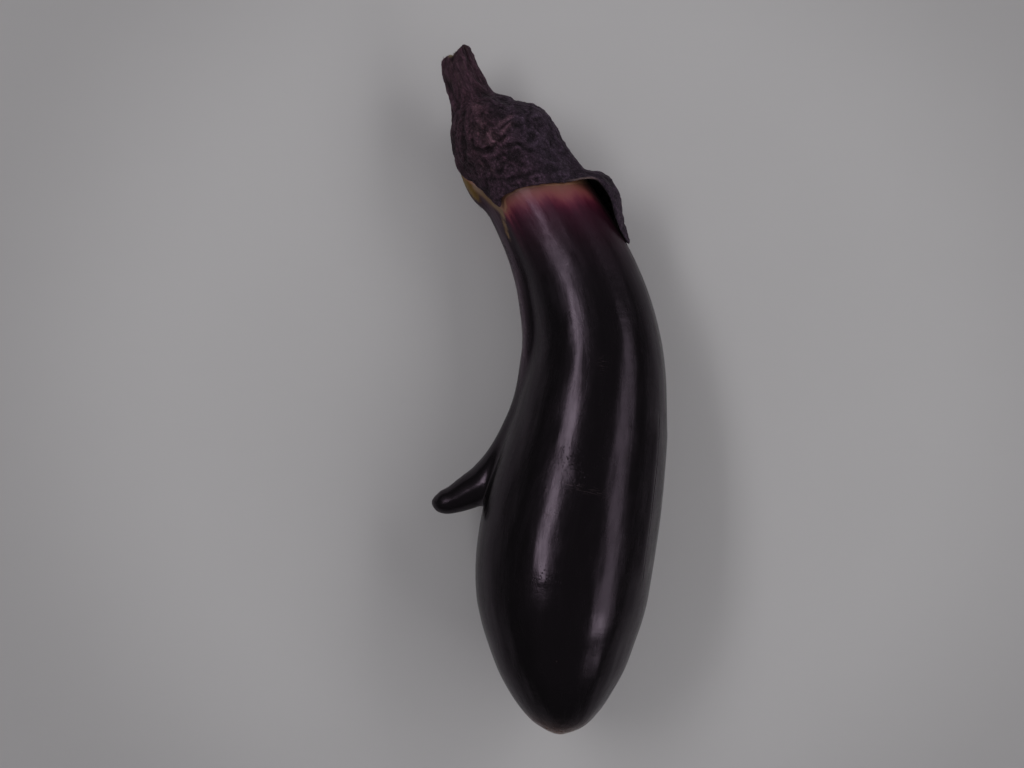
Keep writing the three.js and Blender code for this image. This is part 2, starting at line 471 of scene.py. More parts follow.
# How wide the tan rim next to the calyx is: [angle, width].
RIM = [
    [-180, 1.3],
    [-140, 0.9],
    [-60, 0.7],
    [40, 0.6],
    [128, 0.8],
    [138, 1.2],
    [145, 1.8],
    [152, 1.6],
    [160, 1.0],
    [180, 1.0],
]
FOLD = {"angle": 32.3, "start": -50, "end": -4, "fade": 6}  # a fine fold along the right flank


def spots(rows, place, angle, radius):
    """How much of a mark is on each point, from 0 to 1."""
    total = np.zeros_like(place)
    for y, about, half_length, half_width in rows:
        aside = np.radians(turned(angle, about)) * radius
        total = total + bump(place - y, half_length) * bump(aside, half_width)
    return np.minimum(total, 1)


radius = np.hypot(right, up)
edge_slope = (pale_edge(angle + 1) - pale_edge(angle - 1)) / (2 * np.radians(radius))
square = 1 / np.hypot(1, np.clip(edge_slope, -3, 3))
below = pale_edge(angle) - place
off_edge = below * square
below = below * (square + (1 - square) * ramped(off_edge, 2, 10))
below = below + 8.0 * ramped(angle, 147, 155) * ramped(off_edge, 1.0, 2.6)
below = below + 3.0 * bump(turned(angle, 144), 9) * ramped(off_edge, 0.9, 3.5)
note(body, "below_cap", below)
note(body, "off_rim", off_edge / curve(RIM)(angle))
note(body, "straight", straight)
for mark, rows in MARKS.items():
    note(body, mark, spots(rows, place, angle, radius))
gap_belly, gap_lobe = outside_belly(points), outside_lobe(points)
note(body, "off_groove", gap_belly - gap_lobe)
note(body, "near_groove", bump(np.maximum(gap_belly, gap_lobe), 1.5))
note(body, "scar", at_end * bump(off_end + 1.5, 4))
note(body, "browned", at_end * bump(np.hypot((right + 1.5) / 1.5, up - 1.2), 4))
sway = 0.5 * np.sin(place / 7) + 0.25 * np.sin(place / 2.3)
note(body, "off_fold", np.radians(turned(angle, FOLD["angle"] + sway)) * radius)
fold_run = np.clip(np.minimum(place - FOLD["start"], FOLD["end"] - place) / FOLD["fade"], 0, 1)
note(body, "on_fold", fold_run * bump(turned(angle, FOLD["angle"]), 8))


def material_of(name):
    """A new material: its node tree and its main shader."""
    material = bpy.data.materials.new(name)
    material.use_nodes = True
    tree = material.node_tree
    return material, tree, tree.nodes["Principled BSDF"]


def add_node(tree, kind, inputs=(), **settings):
    """A new node with those settings. inputs maps socket names or numbers to values or other sockets."""
    made = tree.nodes.new(kind)
    for key, value in settings.items():
        setattr(made, key, value)
    for key, value in dict(inputs).items():
        if isinstance(value, bpy.types.NodeSocket):
            tree.links.new(value, made.inputs[key])
        else:
            made.inputs[key].default_value = value
    return made


def noted(tree, name, output="Fac"):
    """What note() kept under that name."""
    return add_node(tree, "ShaderNodeAttribute", attribute_name=name).outputs[output]


def maths(tree, operation, *values):
    return add_node(tree, "ShaderNodeMath", dict(enumerate(values)), operation=operation).outputs[0]


def product(tree, a, b):
    return maths(tree, "MULTIPLY", a, b)


def stretched(tree, vector, scale):
    """vector with each axis scaled."""
    return add_node(tree, "ShaderNodeMapping", {"Vector": vector, "Scale": scale}).outputs[0]


def speckle(tree, vector, scale, detail=3, roughness=0.55):
    """Cloudy noise, 0 to 1. A scale for each axis stretches it."""
    if isinstance(scale, tuple):
        vector, scale = stretched(tree, vector, scale), 1.0
    inputs = {"Vector": vector, "Scale": scale, "Detail": detail, "Roughness": roughness}
    return add_node(tree, "ShaderNodeTexNoise", inputs).outputs["Fac"]


def cells(tree, vector, scale, output="Distance"):
    """How far the middle of the nearest of scattered cells is, or that cell's own colour."""
    inputs = {"Vector": vector, "Scale": scale}
    return add_node(tree, "ShaderNodeTexVoronoi", inputs, feature="F1").outputs[output]


def eased(tree, value, low, high, start=0.0, end=1.0):
    """value taken smoothly from low..high to start..end."""
    inputs = {"Value": value, "From Min": low, "From Max": high, "To Min": start, "To Max": end}
    made = add_node(tree, "ShaderNodeMapRange", inputs, interpolation_type="SMOOTHSTEP")
    return made.outputs["Result"]


def colours(tree, value, stops):
    """A colour ramp of (place, colour) stops."""
    ramp = add_node(tree, "ShaderNodeValToRGB", {"Fac": value})
    elements = ramp.color_ramp.elements
    for i, (place, colour) in enumerate(stops):
        stop = elements[i] if i < 2 else elements.new(place)
        stop.position = place
        stop.color = (*colour, 1)
    return ramp.outputs["Color"]


def mixed(tree, share, a, b, blend="MIX"):
    """Colour a, with that share of it replaced by b."""
    made = add_node(tree, "ShaderNodeMix", {"Factor": share}, data_type="RGBA", blend_type=blend)
    for socket, value in ((made.inputs[6], a), (made.inputs[7], b)):
        if isinstance(value, bpy.types.NodeSocket):
            tree.links.new(value, socket)
        else:
            socket.default_value = (*value, 1)
    return made.outputs[2]


def dimmed(tree, colour, light):
    """colour made darker, or lighter, that many times."""
    light = add_node(tree, "ShaderNodeCombineColor", {0: light, 1: light, 2: light}).outputs[0]
    return mixed(tree, 1.0, colour, light, "MULTIPLY")


def patchy(tree, mark, grain, *spread):
    """A kept mark, broken up by a grain."""
    return product(tree, noted(tree, mark), eased(tree, grain, *spread))


def raised(tree, heights):
    """A chain of bumps, from [(height, strength, distance in mm)]."""
    normal = None
    for height, strength, distance in heights:
        inputs = {"Height": height, "Strength": strength, "Distance": distance * MM}
        if normal:
            inputs["Normal"] = normal
        normal = add_node(tree, "ShaderNodeBump", inputs).outputs["Normal"]
    return normal


# Next to the calyx the pigment thins out, through wine red and rose, to a tan line at its edge.
PIGMENT = [
    (0.0, (0.260, 0.150, 0.085)),
    (0.7, (0.245, 0.115, 0.088)),
    (2.2, (0.270, 0.098, 0.096)),
    (3.3, (0.225, 0.070, 0.084)),
    (4.2, (0.170, 0.042, 0.064)),
    (5.2, (0.120, 0.025, 0.048)),
    (6.3, (0.080, 0.015, 0.034)),
    (8.0, (0.052, 0.0100, 0.0240)),
    (10.5, (0.036, 0.0078, 0.0180)),
    (13.5, (0.023, 0.0062, 0.0125)),
    (18.0, (0.0120, 0.0048, 0.0080)),
    (24.0, (0.0052, 0.0030, 0.0042)),
    (30.0, (0.0028, 0.0020, 0.0024)),
]
PIGMENT_REACH = 30.0  # how far below the calyx the pigment is full

skin, tree, shader = material_of("waxy skin")
vector = noted(tree, "straight", "Vector")
below = noted(tree, "below_cap")
streaks = speckle(tree, vector, (0.9, 0.9, 0.10), 4, 0.6)
blotches = speckle(tree, vector, (0.20, 0.20, 0.14), 3)
faded = eased(tree, below, 0, 4)
depth = maths(tree, "MULTIPLY_ADD", faded, eased(tree, streaks, 0.3, 0.7, -0.28, 0.28), below)
depth = maths(tree, "MULTIPLY_ADD", faded, eased(tree, blotches, 0.3, 0.7, -0.7, 0.7), depth)
depth = maths(tree, "DIVIDE", depth, PIGMENT_REACH)
pigment = colours(tree, depth, [(reach / PIGMENT_REACH, colour) for reach, colour in PIGMENT])

off_groove = maths(tree, "ABSOLUTE", noted(tree, "off_groove"))
groove = product(tree, noted(tree, "near_groove"), eased(tree, off_groove, 0.12, 0.75, 1.0, 0.0))
groove = product(tree, groove, eased(tree, below, 5, 22, 0.3, 0.0))
grit = speckle(tree, vector, 1.6, 3)
unripe = eased(tree, patchy(tree, "unripe", grit, 0.35, 0.65, 0.75, 1.25), 0.15, 0.95)
sheltered = patchy(tree, "sheltered", streaks, 0.3, 0.6, 0.4, 1.0)
greyed = product(tree, patchy(tree, "greyed", streaks, 0.3, 0.6, 0.5, 1.0), 0.8)
tanned = eased(tree, noted(tree, "tanned"), 0.15, 0.9)
rim = eased(tree, noted(tree, "off_rim"), 0.55, 1.05, 0.85, 0.0)
rim = product(tree, rim, eased(tree, streaks, 0.3, 0.6, 0.7, 1.0))
browned = patchy(tree, "browned", grit, 0.3, 0.7, 0.5, 1.2)
scarred = eased(tree, patchy(tree, "scar", grit, 0.3, 0.7, 0.7, 1.3), 0.30, 0.75)
scratch = speckle(tree, vector, (0.6, 0.6, 3.2), 3, 0.6)
scratch = patchy(tree, "scuffed", scratch, 0.53, 0.60)
SPECKS = 0.17  # cells a millimetre, of which some hold a speck
speck = eased(tree, cells(tree, vector, SPECKS), 0.030, 0.055, 1.0, 0.0)
chance = add_node(tree, "ShaderNodeSeparateColor", {0: cells(tree, vector, SPECKS, "Color")}).outputs[0]
speck = product(tree, speck, maths(tree, "GREATER_THAN", chance, 0.62))
worn = maths(tree, "MAXIMUM", scratch, speck)
layers = [
    (groove, (0.34, 0.22, 0.13)),
    (unripe, (0.175, 0.118, 0.030)),
    (sheltered, (0.190, 0.105, 0.135)),
    (greyed, (0.110, 0.086, 0.102)),
    (tanned, (0.220, 0.155, 0.092)),
    (rim, (0.370, 0.215, 0.145)),
    (browned, (0.260, 0.145, 0.090)),
    (scarred, (0.130, 0.070, 0.048)),
    (product(tree, worn, 0.6), (0.060, 0.045, 0.045)),
]
for share, tint in layers:
    pigment = mixed(tree, share, pigment, tint)
tree.links.new(pigment, shader.inputs["Base Color"])

bloom = speckle(tree, vector, (0.45, 0.45, 0.09), 5, 0.65)
smoky = speckle(tree, vector, (0.30, 0.30, 0.20), 4, 0.6)
roughness = eased(tree, bloom, 0.3, 0.75, 0.21, 0.31)
neck_bloom = eased(tree, below, 12, 44, 0.17, 0.0)
neck_bloom = product(tree, neck_bloom, eased(tree, smoky, 0.3, 0.6, 0.4, 1.0))
roughness = maths(tree, "ADD", roughness, neck_bloom)
roughness = maths(tree, "MULTIPLY_ADD", scarred, 0.35, roughness)
roughness = maths(tree, "MULTIPLY_ADD", worn, 0.15, roughness)
tree.links.new(roughness, shader.inputs["Roughness"])

pits = patchy(tree, "pitted", cells(tree, vector, 1.6), 0.05, 0.34)
fine = speckle(tree, vector, (2.2, 2.2, 0.9), 4, 0.6)
peel = speckle(tree, vector, 3.2, 2, 0.5)
long_grain = speckle(tree, vector, (1.0, 1.0, 0.12), 3, 0.5)
across = speckle(tree, vector, (0.20, 0.20, 0.55), 3, 0.5)
off_fold = noted(tree, "off_fold")
fold = eased(tree, maths(tree, "ABSOLUTE", off_fold), 0.0, 0.35, 0.0, 1.0)
fold = maths(tree, "MULTIPLY_ADD", eased(tree, off_fold, -0.9, 0.9, 0.0, 1.0), 0.6, fold)
fold = product(tree, fold, noted(tree, "on_fold"))
heights = [
    (long_grain, 0.28, 0.10),
    (across, 0.34, 0.16),
    (fine, 0.22, 0.03),
    (peel, 0.45, 0.018),
    (pits, 0.9, 0.14),
    (fold, 0.8, 0.35),
    (grit, 0.2, 0.03),
]
tree.links.new(raised(tree, heights), shader.inputs["Normal"])
shader.inputs["IOR"].default_value = 1.55
shader.inputs["Specular Tint"].default_value = (1.0, 0.84, 1.0, 1)
body.data.materials.clear()
body.data.materials.append(skin)
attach(body, "root")
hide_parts("fruit")


# ---- The calyx -------------------------------------------------
# The leathery cap that the flower left: five sepals grown together round the stalk, puckered where they
# dried, and felted with tiny star-shaped hairs. Four cling to the fruit, and the one on the right has
# come away and stands off beside it like a gutter.

# The outer radius of calyx and stalk along the spine: [y, radius].
CAP = [
    [32, 15.9],
    [42, 15.4],
    [50, 14.8],
    [57, 14.3],
    [64, 14.0],
    [69, 13.4],
    [73, 11.9],
    [77, 9.3],
    [79.5, 6.8],
    [82, 5.9],
    [84, 5.6],
    [87.5, 5.3],
    [91, 4.6],
    [93, 4.2],
    [96, 4.0],
]

# How far calyx and stalk stand to the left of the spine: [y, distance].
LEAN = [
    [0, 0],
    [75, 0],
    [77, -0.1],
    [78.5, 0.6],
    [79.8, 1.1],
    [81, 1.15],
    [82.3, 1.05],
    [84.5, 0.7],
    [87, 0.35],
    [90, 0.15],
    [96, 0],
    [120, 0],
]
CROWN = 81.85  # where the calyx ends and the stalk begins
LINING_TOP = 77.9  # where its lining closes, over the fruit
FRUIT_TOP = 76.5  # the last place where its lining follows the fruit
CLEARANCE = 0.12  # between lining and fruit
EDGE_THICK = 0.75
CROWN_THICK = 2.2
SEPALS = [-140, -68, 72, 143]  # the angles of the clinging sepals' midribs
MIDRIB = {"rise": 0.35, "width": 6}

# Where the fruit's shoulder swells the cap, and where the cap dips.
SHOULDER = {"angle": 20, "y": 66.8, "rise": 2.0, "width": 32, "length": 5}
SADDLE = {"angle": 15, "y": 76.2, "rise": -0.8, "width": 38, "length": 2.6}
HOLLOW = {"angle": 103, "y": 70.6, "rise": -0.9, "width": 20, "length": 3.6}

# How far the loose sepal stands off the fruit: [y, distance].
STAND_OFF = [
    [34, 0.5],
    [36, 0.9],
    [38, 1.3],
    [40, 2.0],
    [42, 2.9],
    [43.6, 3.8],
    [45.3, 4.3],
    [47.1, 4.5],
    [48.6, 4.4],
    [49.5, 3.9],
    [50.5, 3.0],
    [51.4, 1.6],
    [52.4, 0.3],
    [53.5, 0],
]
LOOSE = [-60, -28, 36, 54]  # the angles between which the loose sepal comes away, and is away

# Folds and creases of the face: (depth, width, line of [angle, y]). A negative depth is a ridge.
CREASES = [
    (0.45, 0.5, [[113, 74.2], [122, 71.8], [123, 69.8], [119, 67.7], [109, 67.2]]),
    (0.6, 0.5, [[119, 67.7], [109, 67.2], [97, 67.4], [83, 67.6]]),
    (0.25, 0.4, [[108, 70.0], [101, 71.4], [94, 72.2]]),
    (-0.35, 0.4, [[86, 70.0], [74, 70.3], [61, 70.6]]),
    (-0.32, 0.35, [[91, 68.9], [81, 69.1], [68, 69.3]]),
    (0.35, 0.3, [[88, 69.5], [76, 69.7], [66, 69.9]]),
    (-0.3, 0.35, [[96, 66.9], [87, 66.9], [77, 66.8]]),
    (0.55, 0.55, [[98, 65.9], [89, 65.3], [83, 64.9], [78, 63.7], [72, 62.0], [64, 60.4]]),
    (0.55, 0.6, [[135, 62.6], [119, 60.5], [107, 59.1], [97, 58.4], [84, 57.5], [68, 55.7]]),
    (0.22, 0.45, [[128, 64.6], [119, 62.3], [107, 60.8], [92, 60.0]]),
    (0.35, 0.4, [[117, 66.4], [111, 64.9], [101, 64.3], [92, 64.5]]),
    (0.25, 0.4, [[126, 67.4], [125, 65.0], [121, 63.0], [112, 61.9]]),
    (0.4, 0.7, [[115, 79.2], [127, 75.4], [135, 72.7], [142, 70.3], [149, 67.4]]),
    (0.25, 0.35, [[103, 78.8], [94, 78.6], [89, 77.6], [94, 76.9], [103, 77.1]]),
    (0.25, 0.35, [[105, 76.2], [96, 76.5], [90, 75.4]]),
    (0.25, 0.5, [[66, 80.2], [57, 77.8], [53, 75.3], [47, 73.2], [38, 71.3]]),
    (0.22, 0.45, [[56, 80.0], [50, 77.0], [44, 74.4], [34, 73.0]]),
    (0.28, 0.45, [[82, 75.6], [70, 75.0], [62, 73.2]]),
    (0.25, 0.6, [[44, 70.6], [48, 69.0], [55, 66.4], [64, 64.2], [72, 62.8]]),
    (0.2, 0.6, [[30, 66], [36, 60], [42, 55]]),
    (0.3, 0.6, [[10, 70], [6, 63], [2, 56]]),
    (0.35, 0.6, [[-30, 74], [-34, 66], [-36, 58]]),
    (0.4, 0.7, [[-104, 76], [-104, 69], [-104, 63]]),
    (0.25, 0.5, [[-84, 70], [-78, 62], [-74, 54]]),
    (0.3, 0.6, [[-150, 74], [-154, 68], [-150, 62]]),
    (0.35, 0.6, [[178, 79], [176, 75], [178, 72]]),
    (-0.28, 0.45, [[70, 92], [71, 89], [79, 85.3], [86, 81.4], [86, 78.6]]),
    (-0.28, 0.45, [[101, 90.5], [111, 85.5], [118, 81.8], [130, 78.5], [146, 75.5]]),
    (-0.35, 0.6, [[163, 88], [152, 83.5], [146, 79.2], [152, 74.5], [160, 69.5]]),
]
CALYX_ROUND, CALYX_ALONG = ((300, 120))

girth_at = curve(CAP)
leaned = curve(LEAN)
stand_off = curve([[0, 0], *STAND_OFF, [200, 0]])
LENGTHENED = [[30, 30], [73, 73], [80, 78.6], [88, 81.6], [97, 84.4]]  # how grain stretches up the stalk
lengthened = curve(LENGTHENED)


def leaning(place, angle):
    """How the stalk stands a little to the left of the spine."""
    return -leaned(place) * np.cos(np.radians(angle))


def ribbing(place, angle):
    """The stalk's five ribs, which fade out over the calyx's crown."""
    waves = 0.22 * np.cos(np.radians(5 * angle)) + 0.10 * np.cos(np.radians(11 * angle + 40))
    return waves * np.clip((place - 72) / 8, 0, 1)


def creases(place, angle):
    """How far the creases lower the face."""
    per_degree = np.radians(1) * girth_at(place)
    total = np.zeros_like(place)
    for depth, width, line in CREASES:
        gap = np.full_like(place, 1e3)
        along = np.zeros_like(place)
        for i, ((a0, y0), (a1, y1)) in enumerate(zip(line[:-1], line[1:])):
            run_x, run_y = (a1 - a0) * per_degree, y1 - y0
            x, y = turned(angle, a0) * per_degree, place - y0
            t = np.clip((x * run_x + y * run_y) / (run_x**2 + run_y**2), 0, 1)
            here = np.hypot(x - t * run_x, y - t * run_y)
            along = np.where(here < gap, (i + t) / (len(line) - 1), along)
            gap = np.minimum(gap, here)
        fade = np.sqrt(np.clip(5 * along * (1 - along), 0, 1))
        lips = bump(gap - 2.0 * width, width) * 0.3
        total += depth * fade * (bump(gap, width) - lips)
    return total


def netted(points, size):
    """A net of narrow furrows round cells of that size: 1 in a furrow, 0 on a cell."""
    near = [noise.voronoi(Vector(point) / size)[0][:2] for point in points.tolist()]
    near = np.array(near)
    return bump(near[:, 1] - near[:, 0], 0.16)


def ridged(points, size, seed):
    """Sharp winding ridges between round hollows, about -1 to 1."""
    return 1 - 3.2 * np.abs(wander(points, size, seed))


def leathery(place, angle):
    """The dried face: how far creases, lumps and a net of wrinkles raise it, and the sum as painted shade.
    """
    shape = place.shape
    place, angle = place.ravel(), angle.ravel()
    straight = straightened(lengthened(place), angle, girth_at(place))
    warp = np.stack([wander(straight, 3.0, seed) for seed in (21, 22, 23)], 1)
    swirled = straight + 0.9 * warp
    swayed = place + 0.35 * warp[:, 0], angle + 2.0 * warp[:, 1]
    folds = creases(*swayed) * (0.8 + 0.4 * warp[:, 2])
    lumps = 0.24 * wander(straight, 6.5, 4) * (1 - 0.6 * ramped(place, 79, 84))
    ridges = 0.10 * ridged(swirled * [1, 1, 1.3], 3.6, 5) + 0.08 * ridged(swirled * [1, 1, 1.3], 1.7, 7)
    net = 0.10 * netted(swirled * [1, 1, 1.3], 3.4) + 0.08 * netted(swirled * [1, 1, 1.2], 1.5)
    fine = 0.04 * wander(swirled, 0.9, 6)
    rise = lumps + ridges + fine - net - folds
    # Painted shade: creases and the net of furrows darker, ridges lighter, over a fine random tone.
    tone_and_painted_shade = ridges * 2.0 + fine * 2 - net * 1.5 - folds * 1.8
    return rise.reshape(shape), tone_and_painted_shade.reshape(shape)


def calyx_radius(place, angle):
    rib = MIDRIB["rise"] * np.max([bump(turned(angle, sepal), MIDRIB["width"]) for sepal in SEPALS], 0)
    radius = girth_at(place) + leaning(place, angle) + rib * np.clip((80 - place) / 4, 0, 1)
    for spot in (SHOULDER, SADDLE, HOLLOW):
        near = bump(turned(angle, spot["angle"]), spot["width"]) * bump(place - spot["y"], spot["length"])
        radius = radius + spot["rise"] * near
    loose = ramped(angle, *LOOSE[:2]) * (1 - ramped(angle, *LOOSE[2:]))
    return radius + stand_off(place) * loose + ribbing(place, angle)


def flesh_radius(place, angle):
    """How far out the fruit's skin is along those angles."""
    radius = np.full(place.shape, 19.0)
    for _ in range(9):
        at = on_section(place, angle, radius).reshape(-1, 3)
        radius -= np.minimum(outside_fruit(at).reshape(place.shape), 4)
    return np.maximum(radius, 0)


around = np.linspace(-180, 180, CALYX_ROUND, endpoint=False)
ragged = 0.14 * wander(straightened(around * 0, around, 14), 1.6, 8)
free_edge = cap_edge(around) + ragged


def calyx_rows(steps, inset):
    """Rows of the calyx's face from the crown (0) to the free edge (1). inset 1 is its lining."""
    t = np.asarray(steps)[:, None]
    place = CROWN + (free_edge[None] - CROWN) * t
    angle = np.broadcast_to(around[None], place.shape)
    thick = EDGE_THICK + (CROWN_THICK - EDGE_THICK) * (1 - t) ** 2
    rise, tone_and_painted_shade = leathery(place, angle)
    face = calyx_radius(place, angle) + rise * (1 - 0.7 * inset)
    clear = flesh_radius(np.minimum(place, FRUIT_TOP), angle) + CLEARANCE
    face = np.maximum(face, clear + thick * 0.9)
    lining = np.maximum(face - thick, np.minimum(clear, face - 0.3))
    return on_section(place, angle, face + (lining - face) * inset), place, tone_and_painted_shade


outer, place_out, tone_and_painted_shade_out = calyx_rows(np.linspace(0, 1, CALYX_ALONG), 0)
lining, place_in, tone_and_painted_shade_in = calyx_rows(np.linspace(1, 0.12, CALYX_ALONG // 3), 1)
lip = (outer[-1] + lining[0]) / 2 + (outer[-1] - outer[-3]) * 0.4
rows = np.concatenate([lining[::-1], lip[None], outer[::-1]])
crown_middle = on_section(np.array(CROWN), 0, 0)
calyx = loft("calyx", rows, on_section(np.array(LINING_TOP), 0, 0), crown_middle)
calyx.data.shade_smooth()

place = [[LINING_TOP], place_in[::-1].ravel(), free_edge, place_out[::-1].ravel(), [CROWN]]
place = np.concatenate(place)
angle = np.concatenate([[0], np.tile(around, len(rows)), [0]])
tone_and_painted_shade = np.concatenate([[0], tone_and_painted_shade_in[::-1].ravel(), tone_and_painted_shade_out[-1], tone_and_painted_shade_out[::-1].ravel(), [0]])
inside = np.repeat([1.0, 0.5, 0.0], [len(lining), 1, len(outer)])
inside = np.concatenate([[1], np.repeat(inside, CALYX_ROUND), [0]])
to_edge = place - np.concatenate([[0], np.tile(free_edge, len(rows)), [0]])

# Where the face is worn pink, partly painted highlight on its ridges, and where it is ruddy, as in MARKS.
WORN_AND_HIGHLIT = [
    [72.4, 112, 1.0, 0.9],
    [72.9, 103, 1.0, 1.1],
    [69.3, 106, 1.5, 1.3],
    [69.3, 98, 1.5, 1.3],
    [70.5, 80, 0.5, 1.3],
    [70.5, 68, 0.5, 1.3],
    [68.8, 84, 0.5, 1.2],
    [68.9, 74, 0.5, 1.2],
    [67.2, 89, 0.5, 1.0],
    [77.2, 97, 1.2, 1.2],
    [65.8, 128, 0.7, 0.7],
    [63.4, 122, 0.6, 0.5],
]
RUDDY = [[72, 118, 9, 12], [84, 110, 8, 12], [92, 110, 8, 12], [76, 160, 9, 8]]


def note_leather(obj, place, angle, tone_and_painted_shade, radius):
    """Keeps what the leathery materials read."""
    note(obj, "straight", straightened(place, angle, radius))
    note(obj, "fibrous", straightened(lengthened(place), angle, radius))
    note(obj, "tone_and_painted_shade", tone_and_painted_shade)
    note(obj, "worn", spots(WORN_AND_HIGHLIT, place, angle, radius))
    note(obj, "ruddy", spots(RUDDY, place, angle, radius))
    note(obj, "cool", ramped(angle, 98, 62) * ramped(place, 84, 76))


note_leather(calyx, place, angle, tone_and_painted_shade, girth_at(place))
note(calyx, "inside", inside)
note(calyx, "to_edge", to_edge)
note(calyx, "pale_lip", spots([[50.5, 44, 1.5, 3.5]], place, angle, 14) * 0.7)
note(calyx, "hairy", (inside == 0) * np.clip(to_edge / 0.6, 0, 1))


def leather(tree, shader, contrast):
    """The colour and relief that calyx and stalk have in common, as they were one skin."""
    vector = noted(tree, "straight", "Vector")
    fibrous = noted(tree, "fibrous", "Vector")
    cloud = speckle(tree, fibrous, 0.30, 4, 0.6)
    veins = speckle(tree, fibrous, (1.1, 1.1, 0.8), 5, 0.6)
    swirl = {"Vector": fibrous, "Scale": 0.5, "Detail": 2.0}
    swirl = add_node(tree, "ShaderNodeTexNoise", swirl).outputs["Color"]
    crumpled = {0: swirl, 1: (2.5, 2.5, 2.5), 2: fibrous}
    crumpled = add_node(tree, "ShaderNodeVectorMath", crumpled, operation="MULTIPLY_ADD").outputs[0]
    tone = maths(tree, "ADD", product(tree, cloud, 0.5), product(tree, veins, 0.5))
    stops = [
        (0.30, (0.0345, 0.0190, 0.0300)),
        (0.46, (0.0600, 0.0350, 0.0530)),
        (0.60, (0.0970, 0.0600, 0.0870)),
        (0.75, (0.1530, 0.0990, 0.1370)),
    ]
    colour = colours(tree, tone, stops)
    colour = mixed(tree, product(tree, noted(tree, "ruddy"), 0.55), colour, (0.070, 0.034, 0.044))
    cool = product(tree, noted(tree, "cool"), 0.8)
    colour = mixed(tree, cool, colour, mixed(tree, 1.0, colour, (0.78, 0.95, 0.95), "MULTIPLY"))
    # Pale pink wear, partly painted highlight on the ridges and where the shoulder catches the light.
    worn = product(tree, noted(tree, "worn"), eased(tree, veins, 0.30, 0.62, 0.45, 1.0))
    colour = mixed(tree, product(tree, worn, 0.75), colour, (0.205, 0.120, 0.148))
    # Painted shade and highlight from the relief: creases darker, ridges lighter.
    colour = dimmed(tree, colour, eased(tree, noted(tree, "tone_and_painted_shade"), -1.0, 0.50, 0.45, 1.50))
    grain = speckle(tree, vector, 2.6, 4, 0.75)
    wrinkles = {"Vector": crumpled, "Scale": 1.0}
    wrinkles = add_node(tree, "ShaderNodeTexVoronoi", wrinkles, feature="DISTANCE_TO_EDGE")
    wrinkles = eased(tree, wrinkles.outputs["Distance"], 0.02, 0.30)
    felt_and_furrow_shade = maths(tree, "MULTIPLY_ADD", eased(tree, grain, 0.36, 0.66, -0.30, 0.32), contrast, 1.0)
    # Painted shade: the colour darkens along the wrinkles' furrows, on top of the felt's grain.
    felt_and_furrow_shade = product(tree, felt_and_furrow_shade, maths(tree, "MULTIPLY_ADD", wrinkles, 0.4, 0.75))
    colour = dimmed(tree, colour, felt_and_furrow_shade)
    shader.inputs["Roughness"].default_value = 0.72
    shader.inputs["Specular IOR Level"].default_value = 0.35
    shader.inputs["Sheen Weight"].default_value = 0.10
    shader.inputs["Sheen Roughness"].default_value = 0.5
    shader.inputs["Sheen Tint"].default_value = (0.80, 0.70, 0.78, 1)
    heights = [(veins, 0.45, 0.30), (wrinkles, 0.55, 0.22), (grain, 0.5, 0.12)]
    tree.links.new(raised(tree, heights), shader.inputs["Normal"])
    return colour


def haired(tree, colour, hair_colour):
    return mixed(tree, noted(tree, "hair"), colour, hair_colour)


sepal, tree, shader = material_of("dried sepal")
colour = leather(tree, shader, 1.0)
back = noted(tree, "inside")
lip_share = product(tree, eased(tree, noted(tree, "to_edge"), 0.1, 0.5, 1.0, 0.0), noted(tree, "pale_lip"))
colour = mixed(tree, lip_share, colour, (0.240, 0.185, 0.170))
colour = mixed(tree, eased(tree, back, 0.6, 1.0, 0.0, 0.8), colour, (0.065, 0.068, 0.058))
tree.links.new(haired(tree, colour, (0.115, 0.088, 0.110)), shader.inputs["Base Color"])


